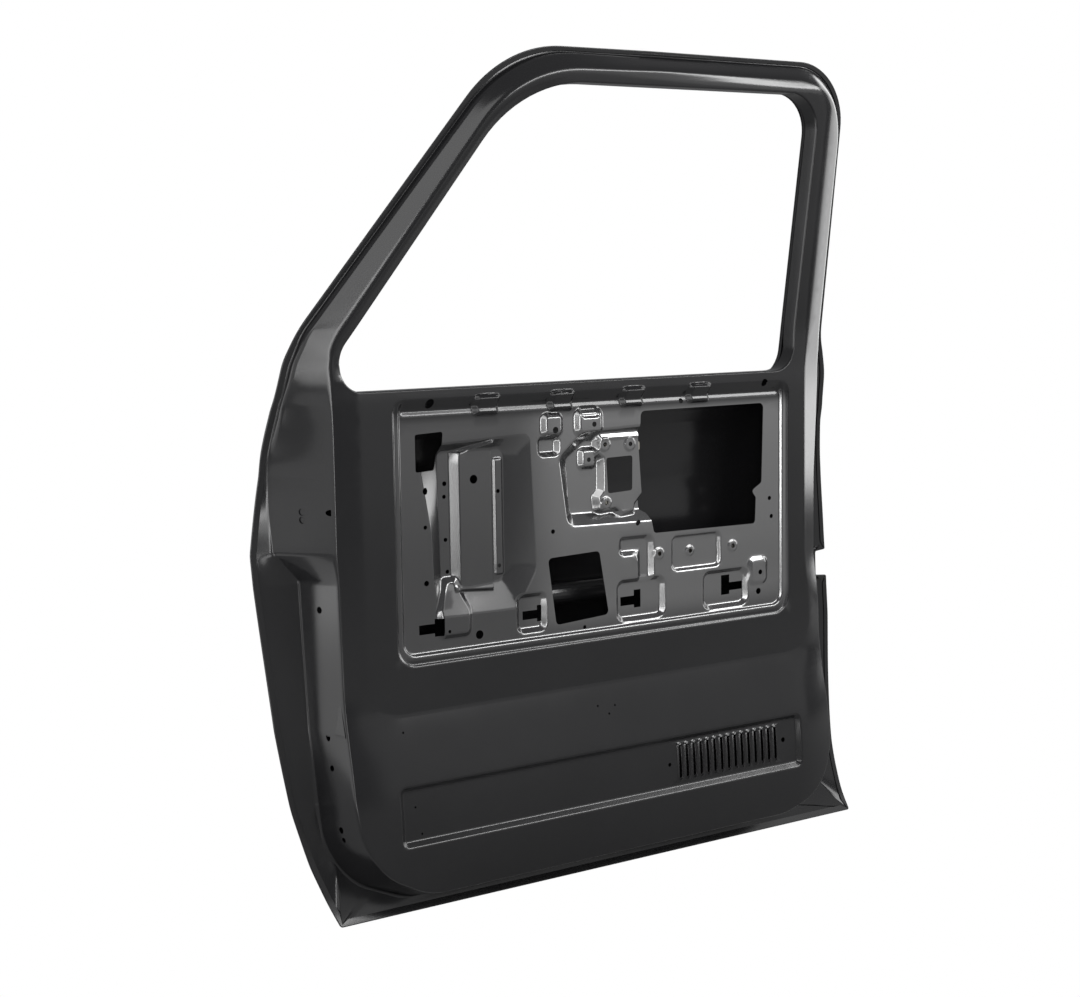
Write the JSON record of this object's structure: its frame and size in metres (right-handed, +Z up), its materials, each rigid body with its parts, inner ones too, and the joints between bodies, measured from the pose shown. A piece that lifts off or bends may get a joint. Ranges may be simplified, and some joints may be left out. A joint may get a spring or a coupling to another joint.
{
  "type": "vehicle door shell",
  "caption": "Bare steel front door shell of a pickup: inner pressing with window frame and access openings, hemmed outer skin, belt rails, impact beam and reinforcements.",
  "frame": {"origin": "middle of the upper hinge face, on its outer surface", "axes": "+X towards the rear of the vehicle, +Y outboard, +Z up"},
  "size_m": [1.0884, 0.1561, 1.2592],
  "materials": {
    "black_primer": "satin black electrocoat",
    "plated_steel": "dull plated",
    "mastic": "matt"
  },
  "bodies": {
    "root": {"inner_panel": "black_primer", "outer_skin": "black_primer", "belt_rail_inner": "black_primer", "belt_rail_outer": "black_primer", "side_impact_beam": "black_primer", "beam_bracket_front": "black_primer", "beam_bracket_rear": "black_primer", "glass_run_front": "black_primer", "glass_run_rear": "black_primer", "hinge_plate_upper": "black_primer", "hinge_plate_lower": "black_primer", "latch_plate": "black_primer", "hinge_tapping_plate_upper": "plated_steel", "hinge_tapping_plate_lower": "plated_steel", "armrest_nut_front": "plated_steel", "armrest_nut_rear": "plated_steel", "armrest_nut_centre": "plated_steel", "handle_nut_front": "plated_steel", "handle_nut_rear": "plated_steel", "handle_nut_lower": "plated_steel", "trim_nut_front": "plated_steel", "trim_nut_rear": "plated_steel", "damping_pad_1": "mastic", "damping_pad_2": "mastic", "damping_pad_3": "mastic"}
  },
  "joints": []
}
